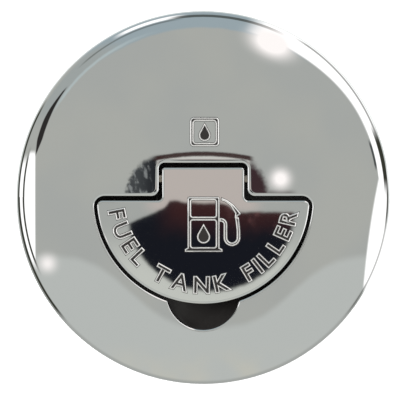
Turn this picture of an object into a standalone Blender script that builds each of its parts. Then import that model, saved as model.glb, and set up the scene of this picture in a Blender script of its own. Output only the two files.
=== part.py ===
"""Deck fill fitting for a boat: a screw cap with a fold-down handle flap, in its deck flange.

The origin is the centre of the deck cut-out, on the deck's surface. +Z points up out of the deck,
and the flap's hinge lies on the +Y side of the cap's centre, along X.
"""
import math

import bmesh
import bpy
from mathutils import Matrix, Vector

MM = 0.001
GAP = 0.3 * MM

# Cap cover: a pressed sheet dome with a rim that is turned in under the core.
CAP_RADIUS = 45.0 * MM
CAP_TOP = 13.5 * MM
CROWN_SLOPE = 0.0375
DOME_SLOPES = (0.0, 0.1, 0.2, 0.4, 0.8, 1.6, 4.0)
SIDE_DROP = 1.8 * MM
SHEET = 1.2 * MM
RIM_BOTTOM = 1.2 * MM
RIM_LIP_RADIUS = 42.0 * MM

# Cut-out for the flap, with the finger notch below it.
RECESS_RADIUS = 26.15 * MM
RECESS_TAB_HALF = 10.55 * MM
RECESS_TAB_TOP = 8.2 * MM
RECESS_SHOULDER = 0.3 * MM
NOTCH_RADIUS = 8.7 * MM
NOTCH_CENTRE_Y = -22.8 * MM
POCKET_FLOOR = 7.5 * MM
POCKET_MARGIN = 0.5 * MM

# Flap: a flat half disc with a hinge tab. Its sides lean in towards the bottom.
FLAP_RADIUS = 25.3 * MM
FLAP_TAB_HALF = 9.78 * MM
FLAP_TAB_TOP = 7.1 * MM
FLAP_SHOULDER = -0.75 * MM
FLAP_TOP = 13.2 * MM
FLAP_THICKNESS = 3.0 * MM
FLAP_DRAFT = 0.35 * MM

# Hinge of the flap, and the rubber pads that the closed flap rests on.
HINGE_Y = 4.4 * MM
HINGE_Z = 10.7 * MM
PIN_RADIUS = 1.2 * MM
PIN_HALF_LENGTH = 14.3 * MM
PIN_CHAMFER = 0.3 * MM
KNUCKLE_RADIUS = 2.3 * MM
PAD_RADIUS = 2.5 * MM
PAD_X = 14.0 * MM
PAD_Y = -9.0 * MM
PAD_LOW = 7.0 * MM

# Core: it fills the cover, and its hollow spigot carries the male thread.
CORE_CLEARANCE = 0.4 * MM
SKIRT_BORE = 41.8 * MM
SEAL_GROOVE_OUTER = 28.0 * MM
SEAL_GROOVE_INNER = 24.6 * MM
SEAL_GROOVE_TOP = 6.2 * MM
SPIGOT_RADIUS = 23.6 * MM
SPIGOT_BOTTOM = -5.0 * MM
SPIGOT_CHAMFER = 0.6 * MM
HOLLOW_OUTER = 18.9 * MM
HOLLOW_INNER = 10.5 * MM
HOLLOW_TOP = 2.0 * MM
INSERT_HOLE_RADIUS = 3.8 * MM
INSERT_HOLE_TOP = 4.0 * MM

# Screw thread between the spigot and the neck: one shared right-handed helix.
PITCH = 3.0 * MM
THREAD_BASE = -3.75 * MM
THREAD_CREST = 24.9 * MM
THREAD_ROOT = 25.3 * MM
THREAD_HALF_WIDTH = 0.8 * MM
THREAD_FLANK = 0.3
MALE_TURNS = (0.0, 2.0)
FEMALE_TURNS = (-0.1, 2.75)

# Deck flange, its neck and the gasket.
FLANGE_RADIUS = 41.0 * MM
FLANGE_TOP = 5.5 * MM
FLANGE_EDGE = 0.8 * MM
GASKET_TOP = 1.5 * MM
FLANGE_BOTTOM = GASKET_TOP + GAP
SEAT_RADIUS = 29.2 * MM
SEAT_FLOOR = 3.0 * MM
NECK_RADIUS = 28.0 * MM
NECK_BORE = 24.0 * MM
NECK_END = -19.0 * MM

# Countersunk deck screws.
SCREW_CIRCLE = 34.5 * MM
SCREW_COUNT = 4
SCREW_HEAD_RADIUS = 4.4 * MM
SCREW_SHANK_RADIUS = 2.1 * MM
SCREW_HEAD_TOP = FLANGE_TOP - 0.2 * MM
SCREW_HEAD_DEPTH = 2.6 * MM
SCREW_POINT_START = -17.5 * MM
SCREW_POINT_END = -21.5 * MM
SCREW_HOLE_RADIUS = 2.5 * MM

# Seals, as centre radius, section radius and height.
CAP_SEAL = (26.3 * MM, 1.3 * MM, 4.6 * MM)
TAIL_SEAL = (23.15 * MM, 0.55 * MM, -15.7 * MM)

# Hose tail: a sleeve in the neck with a seal groove, a shoulder, a cone and barbs.
TAIL_START = -14.0 * MM
TAIL_SLEEVE_RADIUS = 23.7 * MM
TAIL_SLEEVE_BORE = 20.5 * MM
TAIL_GROOVE_RADIUS = 22.3 * MM
TAIL_GROOVE_TOP = -14.8 * MM
TAIL_GROOVE_BOTTOM = -16.6 * MM
TAIL_SHOULDER = 2.0 * MM
TAIL_CONE_END = -31.0 * MM
TAIL_BORE = 16.0 * MM
TAIL_RADIUS = 18.5 * MM
TAIL_END = -60.0 * MM
BARB_COUNT = 4
BARB_PITCH = 6.0 * MM
BARB_HEIGHT = 0.9 * MM
BARB_START = TAIL_CONE_END - 3.0 * MM

# Earth terminal on the +X side of the neck, as distances from the neck's axis.
BOND_HEIGHT = -12.0 * MM
BOND_BOSS_RADIUS = 5.0 * MM
BOND_BOSS_START = 26.0 * MM
BOND_FACE = 28.9 * MM
BOND_HOLE_RADIUS = 2.3 * MM
BOND_HOLE_END = 24.9 * MM
BOND_WASHER_RADIUS = 4.4 * MM
BOND_WASHER_THICKNESS = 0.8 * MM
BOND_HEAD_RADIUS = 3.9 * MM
BOND_HEAD_HEIGHT = 2.4 * MM

# Riveted chain anchor on the -X side of the neck.
ANCHOR_HEIGHT = -11.0 * MM
RIVET_SHANK = 1.2 * MM
RIVET_COLLAR = 2.2 * MM
RIVET_HEAD = 2.6 * MM
RIVET_HEAD_END = 30.0 * MM
RIVET_COLLAR_END = 22.7 * MM
EYE_CENTRE = 20.2 * MM
EYE_RADIUS = 2.0 * MM
EYE_WIRE = 0.6 * MM

# Chain swivel under the cap.
SWIVEL_TOP = -6.6 * MM
SWIVEL_THICKNESS = 1.5 * MM
SWIVEL_PLATE_RADIUS = 6.5 * MM
SWIVEL_HOLE_RADIUS = 2.5 * MM
SWIVEL_EAR_X = 12.0 * MM
SWIVEL_EAR_HALF = 3.0 * MM
SWIVEL_EAR_HOLE = 1.8 * MM
SWIVEL_SHANK = 2.0 * MM
SWIVEL_SHANK_TOP = 3.2 * MM
SWIVEL_HEAD_RADIUS = 4.2 * MM
SWIVEL_HEAD_HEIGHT = 2.8 * MM
SWIVEL_WASHER_RADIUS = 6.0 * MM
INSERT_RADIUS = 3.5 * MM
INSERT_TOP = 3.7 * MM

ROUND_STEPS = 48
SMALL_STEPS = 16
THREAD_STEPS = 24
TAIL_STEPS = 36
SECTION_STEPS = 8
MARGIN = 1.0 * MM


def clear_objects():
    for existing in list(bpy.data.objects):
        bpy.data.objects.remove(existing, do_unlink=True)


def make_material(name, colour, roughness, metallic):
    material = bpy.data.materials.new(name)
    material.use_nodes = True
    shader = material.node_tree.nodes["Principled BSDF"]
    shader.inputs["Base Color"].default_value = (*colour, 1.0)
    shader.inputs["Roughness"].default_value = roughness
    shader.inputs["Metallic"].default_value = metallic
    material.diffuse_color = (*colour, 1.0)
    return material


def make_empty(name, location):
    empty = bpy.data.objects.new(name, None)
    empty.location = location
    bpy.context.collection.objects.link(empty)
    return empty


def add_object(name, shape, material=None, parent=None):
    """Turn a shape, given in world coordinates, into an object whose origin is its parent's."""
    origin = Vector(parent.location) if parent else Vector()
    bmesh.ops.translate(shape, vec=-origin, verts=shape.verts)
    bmesh.ops.recalc_face_normals(shape, faces=shape.faces)
    mesh = bpy.data.meshes.new(name)
    shape.to_mesh(mesh)
    shape.free()
    mesh.shade_smooth()
    mesh.set_sharp_from_angle(angle=math.radians(30.0))
    if material:
        mesh.materials.append(material)
    added = bpy.data.objects.new(name, mesh)
    bpy.context.collection.objects.link(added)
    if parent:
        added.parent = parent
    return added


def use_tool(target, name, shape, operation):
    """Cut a shape from an object, or weld it on, with a Boolean modifier."""
    tool = add_object(f"{target.name}_{name}", shape, parent=target.parent)
    tool.hide_render = True
    tool.display_type = "WIRE"
    modifier = target.modifiers.new(name, "BOOLEAN")
    modifier.operation = operation
    modifier.solver = "EXACT"
    modifier.object = tool


def lathe(profile, steps=ROUND_STEPS, start=0.0):
    """Turn (radius, height) points about Z. A profile that leaves the axis is closed to a ring."""
    shape = bmesh.new()
    points = [shape.verts.new((radius * math.cos(start), radius * math.sin(start), height))
              for radius, height in profile]
    edges = [shape.edges.new(pair) for pair in zip(points, points[1:])]
    if profile[0][0] > 0.0:
        edges.append(shape.edges.new((points[-1], points[0])))
    bmesh.ops.spin(shape, geom=points + edges, cent=(0, 0, 0), axis=(0, 0, 1), angle=math.tau,
                   steps=steps, use_merge=True, use_duplicate=False)
    bmesh.ops.remove_doubles(shape, verts=shape.verts, dist=0.001 * MM)
    bmesh.ops.recalc_face_normals(shape, faces=shape.faces)
    return shape


def ring(inner, outer, low, high, steps=ROUND_STEPS):
    return lathe([(outer, high), (outer, low), (inner, low), (inner, high)], steps)


def rod(radius, low, high, steps=SMALL_STEPS):
    return lathe([(0.0, high), (radius, high), (radius, low), (0.0, low)], steps, math.pi / steps)


def torus(major, minor, height, steps, section_steps):
    section = [(major + minor * math.cos(math.tau * step / section_steps),
                height - minor * math.sin(math.tau * step / section_steps))
               for step in range(section_steps)]
    return lathe(section, steps)


def prism(outline, low, high, draft_outline=None):
    """Extrude an outline from high down to low, where it may change to another outline."""
    shape = bmesh.new()
    top_points = [shape.verts.new((x, y, high)) for x, y in outline]
    bottom_points = [shape.verts.new((x, y, low)) for x, y in draft_outline or outline]
    shape.faces.new(top_points)
    shape.faces.new(reversed(bottom_points))
    for index in range(len(outline)):
        side = (top_points[index - 1], bottom_points[index - 1], bottom_points[index], top_points[index])
        shape.faces.new(side)
    bmesh.ops.recalc_face_normals(shape, faces=shape.faces)
    return shape


def merge(*shapes):
    """Collect shapes that don't touch in one bmesh."""
    collected = shapes[0]
    for shape in shapes[1:]:
        mesh = bpy.data.meshes.new("merged")
        shape.to_mesh(mesh)
        shape.free()
        collected.from_mesh(mesh)
        bpy.data.meshes.remove(mesh)
    return collected


def turned(shape, angle, axis):
    bmesh.ops.rotate(shape, cent=(0, 0, 0), matrix=Matrix.Rotation(angle, 3, axis), verts=shape.verts)
    return shape


def moved(shape, x, y, z=0.0):
    bmesh.ops.translate(shape, vec=(x, y, z), verts=shape.verts)
    return shape


def arc(centre, radius, start, end, steps):
    """Points on an arc, from one angle to another, in degrees."""
    points = []
    for step in range(steps + 1):
        angle = math.radians(start + (end - start) * step / steps)
        points.append((centre[0] + radius * math.cos(angle), centre[1] + radius * math.sin(angle)))
    return points


def flap_outline(radius, tab_half, tab_top, shoulder, tip, neck, corner, notch=False):
    """The half disc with its tab. Tip, neck and corner are the radii of its rounded corners."""
    tip_reach = radius - tip
    tip_centre = (math.sqrt(tip_reach ** 2 - (shoulder - tip) ** 2), shoulder - tip)
    tip_angle = math.degrees(math.atan2(tip_centre[1], tip_centre[0]))
    half = []
    start = -90.0
    if notch:
        crossing_y = (NOTCH_RADIUS ** 2 - radius ** 2 - NOTCH_CENTRE_Y ** 2) / (-2.0 * NOTCH_CENTRE_Y)
        crossing_x = math.sqrt(radius ** 2 - crossing_y ** 2)
        start = math.degrees(math.atan2(crossing_y, crossing_x))
        notch_end = math.degrees(math.atan2(crossing_y - NOTCH_CENTRE_Y, crossing_x))
        half += arc((0.0, NOTCH_CENTRE_Y), NOTCH_RADIUS, -90.0, notch_end, 8)[:-1]
    half += arc((0.0, 0.0), radius, start, tip_angle, 16)
    half += arc(tip_centre, tip, tip_angle, 90.0, 5)[1:]
    half += arc((tab_half + neck, shoulder + neck), neck, -90.0, -180.0, 4)
    half += arc((tab_half - corner, tab_top - corner), corner, 0.0, 90.0, 4)
    other_half = [(-x, y) for x, y in reversed(half[1:])]
    return half + other_half


def recess_outline(margin):
    return flap_outline(RECESS_RADIUS + margin, RECESS_TAB_HALF + margin, RECESS_TAB_TOP + margin,
                        RECESS_SHOULDER + margin, tip=2.5 * MM + margin, neck=1.75 * MM - margin,
                        corner=1.4 * MM + margin, notch=True)


def dome(radius, top):
    """Half profile of the dome, from its centre to its side, as (radius, height) points.

    The slope is CROWN_SLOPE * r / (radius - r): a flat crown that curls over ever faster at the rim.
    """
    points = []
    for slope in DOME_SLOPES:
        reach = radius * slope / (slope + CROWN_SLOPE)
        height = top + CROWN_SLOPE * (reach + radius * math.log(1.0 - reach / radius))
        points.append((reach, height))
    points.append((radius, height - SIDE_DROP))
    return points


def thread_bar(inner, outer, allowance, turns):
    """A helical bar with a tapered section, between two turns of the shared helix."""
    first_turn, last_turn = turns
    shape = bmesh.new()
    section = []
    for radius, side in ((inner, -1), (outer, -1), (outer, 1), (inner, 1)):
        half_width = THREAD_HALF_WIDTH - (radius - SPIGOT_RADIUS) * THREAD_FLANK + allowance
        height = THREAD_BASE + PITCH * first_turn + side * half_width
        section.append(shape.verts.new((radius, 0.0, height)))
    face = shape.faces.new(section)
    turned(shape, math.tau * first_turn, "Z")
    length = last_turn - first_turn
    steps = round(length * THREAD_STEPS)
    bmesh.ops.spin(shape, geom=[face], cent=(0, 0, 0), axis=(0, 0, 1), angle=math.tau * length,
                   dvec=(0, 0, PITCH * length / steps), steps=steps, use_duplicate=False)
    bmesh.ops.recalc_face_normals(shape, faces=shape.faces)
    return shape


def screw_places():
    for index in range(SCREW_COUNT):
        angle = math.tau * (index + 0.5) / SCREW_COUNT
        yield SCREW_CIRCLE * math.cos(angle), SCREW_CIRCLE * math.sin(angle)


def cross_prism(reach, half_width, low, high):
    outline = []
    for quarter in range(4):
        angle = math.tau * quarter / 4
        for x, y in ((half_width, half_width), (half_width, reach), (-half_width, reach)):
            outline.append((x * math.cos(angle) - y * math.sin(angle),
                            x * math.sin(angle) + y * math.cos(angle)))
    return prism(outline, low, high)


def make_cover(parent):
    material = make_material("polished_steel", (0.80, 0.81, 0.80), 0.06, 1.0)
    edge = 0.6 * MM
    outside = dome(CAP_RADIUS, CAP_TOP)
    inside = dome(CAP_RADIUS - SHEET, CAP_TOP - SHEET)
    rim = [(CAP_RADIUS, RIM_BOTTOM + edge), (CAP_RADIUS - edge, RIM_BOTTOM),
           (RIM_LIP_RADIUS, RIM_BOTTOM), (RIM_LIP_RADIUS, RIM_BOTTOM + SHEET),
           (CAP_RADIUS - SHEET, RIM_BOTTOM + SHEET)]
    cover = add_object("cap_cover", lathe(outside + rim + inside[::-1]), material, parent)
    use_tool(cover, "cut_out", prism(recess_outline(0.0), POCKET_FLOOR, CAP_TOP + MARGIN), "DIFFERENCE")


def make_core(parent):
    material = make_material("black_nylon", (0.022, 0.023, 0.025), 0.45, 0.0)
    radius = CAP_RADIUS - SHEET - CORE_CLEARANCE
    skirt_bottom = RIM_BOTTOM + SHEET + GAP
    underside = FLANGE_TOP + GAP
    spigot_top = SEAT_FLOOR + GAP
    profile = dome(radius, CAP_TOP - SHEET - CORE_CLEARANCE)
    profile += [(radius, skirt_bottom), (SKIRT_BORE, skirt_bottom), (SKIRT_BORE, underside),
                (SEAL_GROOVE_OUTER, underside), (SEAL_GROOVE_OUTER, SEAL_GROOVE_TOP),
                (SEAL_GROOVE_INNER, SEAL_GROOVE_TOP), (SEAL_GROOVE_INNER, spigot_top),
                (SPIGOT_RADIUS, spigot_top), (SPIGOT_RADIUS, SPIGOT_BOTTOM + SPIGOT_CHAMFER),
                (SPIGOT_RADIUS - SPIGOT_CHAMFER, SPIGOT_BOTTOM), (HOLLOW_OUTER, SPIGOT_BOTTOM),
                (HOLLOW_OUTER, HOLLOW_TOP), (HOLLOW_INNER, HOLLOW_TOP), (HOLLOW_INNER, SPIGOT_BOTTOM),
                (INSERT_HOLE_RADIUS, SPIGOT_BOTTOM), (INSERT_HOLE_RADIUS, INSERT_HOLE_TOP),
                (0.0, INSERT_HOLE_TOP)]
    core = add_object("cap_core", lathe(profile, start=math.pi / ROUND_STEPS), material, parent)
    male_thread = thread_bar(SPIGOT_RADIUS - SPIGOT_CHAMFER, THREAD_CREST, 0.0, MALE_TURNS)
    use_tool(core, "thread", male_thread, "UNION")
    above = CAP_TOP + MARGIN
    use_tool(core, "pocket", prism(recess_outline(POCKET_MARGIN), POCKET_FLOOR, above), "DIFFERENCE")
    reach = PIN_HALF_LENGTH + GAP
    half = PIN_RADIUS + GAP
    slot = [(-reach, HINGE_Y - half), (reach, HINGE_Y - half),
            (reach, HINGE_Y + half), (-reach, HINGE_Y + half)]
    use_tool(core, "pin_slot", prism(slot, HINGE_Z - half, above), "DIFFERENCE")
    sockets = [moved(rod(PAD_RADIUS + GAP, PAD_LOW - GAP, POCKET_FLOOR + MARGIN), side * PAD_X, PAD_Y)
               for side in (-1, 1)]
    use_tool(core, "pad_sockets", merge(*sockets), "DIFFERENCE")


def make_rest_pads(parent):
    material = make_material("pad_rubber", (0.03, 0.03, 0.03), 0.8, 0.0)
    edge = 0.5 * MM
    top = FLAP_TOP - FLAP_THICKNESS - GAP
    profile = [(0.0, top), (PAD_RADIUS - edge, top), (PAD_RADIUS, top - edge), (PAD_RADIUS, PAD_LOW),
               (0.0, PAD_LOW)]
    for name, side in (("rest_pad_left", -1), ("rest_pad_right", 1)):
        add_object(name, moved(lathe(profile, SMALL_STEPS), side * PAD_X, PAD_Y), material, parent)


def make_flap(parent):
    material = make_material("flap_steel", (0.78, 0.79, 0.79), 0.08, 1.0)

    def outline(inset):
        return flap_outline(FLAP_RADIUS - inset, FLAP_TAB_HALF - inset, FLAP_TAB_TOP - inset,
                            FLAP_SHOULDER - inset, tip=1.3 * MM, neck=1.0 * MM, corner=0.7 * MM)

    body = prism(outline(0.0), FLAP_TOP - FLAP_THICKNESS, FLAP_TOP, outline(FLAP_DRAFT))
    flap = add_object("flap", body, material, parent)
    knuckle_half = FLAP_TAB_HALF - FLAP_DRAFT - 0.1 * MM
    knuckle = turned(rod(KNUCKLE_RADIUS, -knuckle_half, knuckle_half), math.pi / 2, "Y")
    use_tool(flap, "knuckle", moved(knuckle, 0.0, HINGE_Y, HINGE_Z), "UNION")
    hole = turned(rod(PIN_RADIUS + GAP, -FLAP_RADIUS, FLAP_RADIUS), math.pi / 2, "Y")
    use_tool(flap, "pin_hole", moved(hole, 0.0, HINGE_Y, HINGE_Z), "DIFFERENCE")


def make_hinge_pin(parent):
    material = make_material("pin_steel", (0.62, 0.60, 0.56), 0.25, 1.0)
    profile = [(0.0, PIN_HALF_LENGTH), (PIN_RADIUS - PIN_CHAMFER, PIN_HALF_LENGTH),
               (PIN_RADIUS, PIN_HALF_LENGTH - PIN_CHAMFER), (PIN_RADIUS, PIN_CHAMFER - PIN_HALF_LENGTH),
               (PIN_RADIUS - PIN_CHAMFER, -PIN_HALF_LENGTH), (0.0, -PIN_HALF_LENGTH)]
    pin = turned(lathe(profile, SMALL_STEPS), math.pi / 2, "Y")
    add_object("hinge_pin", moved(pin, 0.0, HINGE_Y, HINGE_Z), material, parent)


def make_seals(cap_axis):
    material = make_material("seal_rubber", (0.02, 0.02, 0.02), 0.6, 0.0)
    add_object("cap_oring", torus(*CAP_SEAL, TAIL_STEPS, SECTION_STEPS), material, cap_axis)
    add_object("tail_oring", torus(*TAIL_SEAL, TAIL_STEPS, SECTION_STEPS - 2), material.copy())


def make_swivel(cap_axis, swivel_axis):
    brass = make_material("insert_brass", (0.72, 0.55, 0.28), 0.3, 1.0)
    steel = make_material("swivel_steel", (0.66, 0.66, 0.65), 0.3, 1.0)
    nylon = make_material("washer_nylon", (0.85, 0.84, 0.78), 0.5, 0.0)
    insert = ring(SWIVEL_SHANK + GAP, INSERT_RADIUS, SPIGOT_BOTTOM, INSERT_TOP, SMALL_STEPS)
    add_object("swivel_insert", insert, brass, cap_axis)
    washer = ring(SWIVEL_SHANK + GAP, SWIVEL_WASHER_RADIUS, SWIVEL_TOP + GAP, SPIGOT_BOTTOM - GAP,
                  SMALL_STEPS)
    add_object("swivel_washer", washer, nylon, cap_axis)
    low = SWIVEL_TOP - SWIVEL_THICKNESS
    ear_angle = math.degrees(math.asin(SWIVEL_EAR_HALF / SWIVEL_PLATE_RADIUS))
    plate = arc((0.0, 0.0), SWIVEL_PLATE_RADIUS, ear_angle, 360.0 - ear_angle, 20)
    plate += arc((SWIVEL_EAR_X, 0.0), SWIVEL_EAR_HALF, -90.0, 90.0, 8)
    eye = add_object("swivel_eye", prism(plate, low, SWIVEL_TOP), steel.copy(), swivel_axis)
    holes = merge(rod(SWIVEL_HOLE_RADIUS, low - MARGIN, SWIVEL_TOP + MARGIN),
                  moved(rod(SWIVEL_EAR_HOLE, low - MARGIN, SWIVEL_TOP + MARGIN), SWIVEL_EAR_X, 0.0))
    use_tool(eye, "holes", holes, "DIFFERENCE")
    head_top = low - GAP
    head_low = head_top - SWIVEL_HEAD_HEIGHT
    edge = 0.8 * MM
    profile = [(0.0, SWIVEL_SHANK_TOP), (SWIVEL_SHANK, SWIVEL_SHANK_TOP), (SWIVEL_SHANK, head_top),
               (SWIVEL_HEAD_RADIUS, head_top), (SWIVEL_HEAD_RADIUS, head_low + edge),
               (SWIVEL_HEAD_RADIUS - edge, head_low), (0.0, head_low)]
    screw = add_object("swivel_screw", lathe(profile, SMALL_STEPS), steel, cap_axis)
    socket = prism(arc((0.0, 0.0), 1.7 * MM, 0.0, 300.0, 5), head_low - MARGIN, head_low + 1.6 * MM)
    use_tool(screw, "socket", socket, "DIFFERENCE")


def make_flange():
    material = make_material("cast_steel", (0.62, 0.63, 0.62), 0.3, 1.0)
    profile = [(SEAT_RADIUS, FLANGE_TOP), (FLANGE_RADIUS - FLANGE_EDGE, FLANGE_TOP),
               (FLANGE_RADIUS, FLANGE_TOP - FLANGE_EDGE), (FLANGE_RADIUS, FLANGE_BOTTOM),
               (NECK_RADIUS, FLANGE_BOTTOM), (NECK_RADIUS, NECK_END), (NECK_BORE, NECK_END),
               (NECK_BORE, SEAT_FLOOR), (SEAT_RADIUS, SEAT_FLOOR)]
    flange = add_object("deck_flange", lathe(profile), material)
    boss = turned(rod(BOND_BOSS_RADIUS, BOND_BOSS_START, BOND_FACE), math.pi / 2, "Y")
    use_tool(flange, "bond_boss", moved(boss, 0.0, 0.0, BOND_HEIGHT), "UNION")
    hole_top = FLANGE_TOP + MARGIN
    hole_low = GASKET_TOP - MARGIN
    head_radius = SCREW_HEAD_RADIUS + 2.0 * GAP
    cone_end = SCREW_HEAD_TOP - SCREW_HEAD_DEPTH + 0.1 * MM
    screw_hole = [(0.0, hole_top), (head_radius, hole_top), (head_radius, SCREW_HEAD_TOP),
                  (SCREW_HOLE_RADIUS, cone_end), (SCREW_HOLE_RADIUS, hole_low), (0.0, hole_low)]
    holes = [moved(lathe(screw_hole, SMALL_STEPS), x, y) for x, y in screw_places()]
    bond_hole = turned(rod(BOND_HOLE_RADIUS, BOND_HOLE_END, BOND_FACE + MARGIN, 20), math.pi / 2, "Y")
    holes.append(moved(bond_hole, 0.0, 0.0, BOND_HEIGHT))
    rivet_hole = turned(rod(RIVET_SHANK + GAP, EYE_CENTRE, RIVET_HEAD_END), -math.pi / 2, "Y")
    holes.append(moved(rivet_hole, 0.0, 0.0, ANCHOR_HEIGHT))
    use_tool(flange, "holes", merge(*holes), "DIFFERENCE")
    female_thread = thread_bar(NECK_BORE - 1.5 * MM, THREAD_ROOT, GAP, FEMALE_TURNS)
    use_tool(flange, "thread", female_thread, "DIFFERENCE")


def make_gasket():
    material = make_material("gasket_rubber", (0.05, 0.05, 0.05), 0.75, 0.0)
    gasket = add_object("deck_gasket", ring(SEAT_RADIUS, FLANGE_RADIUS, 0.0, GASKET_TOP), material)
    holes = [moved(rod(SCREW_HOLE_RADIUS + 0.2 * MM, -MARGIN, GASKET_TOP + MARGIN), x, y)
             for x, y in screw_places()]
    use_tool(gasket, "holes", merge(*holes), "DIFFERENCE")


def make_flange_screws():
    material = make_material("screw_steel", (0.68, 0.68, 0.66), 0.28, 1.0)
    profile = [(0.0, SCREW_HEAD_TOP), (SCREW_HEAD_RADIUS, SCREW_HEAD_TOP),
               (SCREW_HEAD_RADIUS, SCREW_HEAD_TOP - GAP),
               (SCREW_SHANK_RADIUS, SCREW_HEAD_TOP - SCREW_HEAD_DEPTH),
               (SCREW_SHANK_RADIUS, SCREW_POINT_START), (0.0, SCREW_POINT_END)]
    for number, (x, y) in enumerate(screw_places(), start=1):
        screw = add_object(f"flange_screw_{number}", moved(lathe(profile, SMALL_STEPS), x, y), material)
        cross = cross_prism(2.0 * MM, 0.5 * MM, SCREW_HEAD_TOP - 1.6 * MM, SCREW_HEAD_TOP + MARGIN)
        use_tool(screw, "recess", moved(cross, x, y), "DIFFERENCE")


def make_hose_tail():
    material = make_material("tail_steel", (0.58, 0.59, 0.59), 0.35, 1.0)
    shoulder_top = NECK_END - GAP
    shoulder_low = shoulder_top - TAIL_SHOULDER
    profile = [(TAIL_SLEEVE_RADIUS, TAIL_START), (TAIL_SLEEVE_RADIUS, TAIL_GROOVE_TOP),
               (TAIL_GROOVE_RADIUS, TAIL_GROOVE_TOP), (TAIL_GROOVE_RADIUS, TAIL_GROOVE_BOTTOM),
               (TAIL_SLEEVE_RADIUS, TAIL_GROOVE_BOTTOM), (TAIL_SLEEVE_RADIUS, shoulder_top),
               (NECK_RADIUS, shoulder_top), (NECK_RADIUS, shoulder_low),
               (NECK_RADIUS - TAIL_SHOULDER, shoulder_low), (TAIL_RADIUS, TAIL_CONE_END)]
    for barb in range(BARB_COUNT):
        start = BARB_START - barb * BARB_PITCH
        profile += [(TAIL_RADIUS, start), (TAIL_RADIUS + BARB_HEIGHT, start - 0.5 * MM),
                    (TAIL_RADIUS + 0.1 * MM, start - BARB_PITCH + 1.0 * MM)]
    profile += [(TAIL_RADIUS, TAIL_END + 0.6 * MM), (TAIL_RADIUS - 0.3 * MM, TAIL_END), (TAIL_BORE, TAIL_END),
                (TAIL_BORE, TAIL_CONE_END), (TAIL_SLEEVE_BORE, NECK_END), (TAIL_SLEEVE_BORE, TAIL_START)]
    add_object("hose_tail", lathe(profile, TAIL_STEPS), material)


def make_bond_terminal():
    steel = make_material("terminal_steel", (0.66, 0.66, 0.64), 0.3, 1.0)
    brass = make_material("terminal_brass", (0.70, 0.53, 0.27), 0.35, 1.0)
    washer_start = BOND_FACE + GAP
    washer_end = washer_start + BOND_WASHER_THICKNESS
    shank = BOND_HOLE_RADIUS - GAP
    washer = ring(BOND_HOLE_RADIUS, BOND_WASHER_RADIUS, washer_start, washer_end, SMALL_STEPS)
    add_object("bond_washer", moved(turned(washer, math.pi / 2, "Y"), 0.0, 0.0, BOND_HEIGHT), brass)
    head_start = washer_end + GAP
    head_end = head_start + BOND_HEAD_HEIGHT
    edge = 1.0 * MM
    profile = [(0.0, head_end), (BOND_HEAD_RADIUS - edge, head_end), (BOND_HEAD_RADIUS, head_end - edge),
               (BOND_HEAD_RADIUS, head_start), (shank, head_start), (shank, BOND_HOLE_END + GAP),
               (0.0, BOND_HOLE_END + GAP)]
    screw = turned(lathe(profile, SMALL_STEPS), math.pi / 2, "Y")
    bond_screw = add_object("bond_screw", moved(screw, 0.0, 0.0, BOND_HEIGHT), steel)
    cross = turned(cross_prism(1.9 * MM, 0.45 * MM, head_end - 1.4 * MM, head_end + MARGIN), math.pi / 2, "Y")
    use_tool(bond_screw, "recess", moved(cross, 0.0, 0.0, BOND_HEIGHT), "DIFFERENCE")


def make_chain_anchor():
    material = make_material("anchor_steel", (0.64, 0.64, 0.62), 0.3, 1.0)
    edge = 0.8 * MM
    neck_end = RIVET_COLLAR_END - 0.6 * MM
    profile = [(0.0, RIVET_HEAD_END), (RIVET_HEAD - edge, RIVET_HEAD_END),
               (RIVET_HEAD, RIVET_HEAD_END - edge), (RIVET_HEAD, NECK_RADIUS + GAP),
               (RIVET_SHANK, NECK_RADIUS + GAP), (RIVET_SHANK, NECK_BORE - GAP),
               (RIVET_COLLAR, NECK_BORE - GAP), (RIVET_COLLAR, RIVET_COLLAR_END), (edge, neck_end),
               (0.0, neck_end)]
    rivet = turned(lathe(profile, SMALL_STEPS), -math.pi / 2, "Y")
    anchor = add_object("chain_anchor", moved(rivet, 0.0, 0.0, ANCHOR_HEIGHT), material)
    eye = turned(torus(EYE_RADIUS, EYE_WIRE, 0.0, SMALL_STEPS, SECTION_STEPS), math.pi / 2, "X")
    use_tool(anchor, "eye", moved(eye, -EYE_CENTRE, 0.0, ANCHOR_HEIGHT), "UNION")


def main():
    clear_objects()
    swivel_axis = make_empty("swivel_axis", (0.0, 0.0, 0.0))
    cap_axis = make_empty("cap_axis", (0.0, 0.0, 0.0))
    flap_axis = make_empty("flap_axis", (0.0, HINGE_Y, HINGE_Z))
    make_flange()
    make_gasket()
    make_flange_screws()
    make_hose_tail()
    make_bond_terminal()
    make_chain_anchor()
    make_cover(cap_axis)
    make_core(cap_axis)
    make_rest_pads(cap_axis)
    make_hinge_pin(cap_axis)
    make_seals(cap_axis)
    make_swivel(cap_axis, swivel_axis)
    make_flap(flap_axis)


main()
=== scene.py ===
"""Looks of the deck fill cap: its finished pieces, their finishes, and a plain studio around it."""

import math

import bmesh
import bpy
from mathutils import Matrix, Vector


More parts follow.
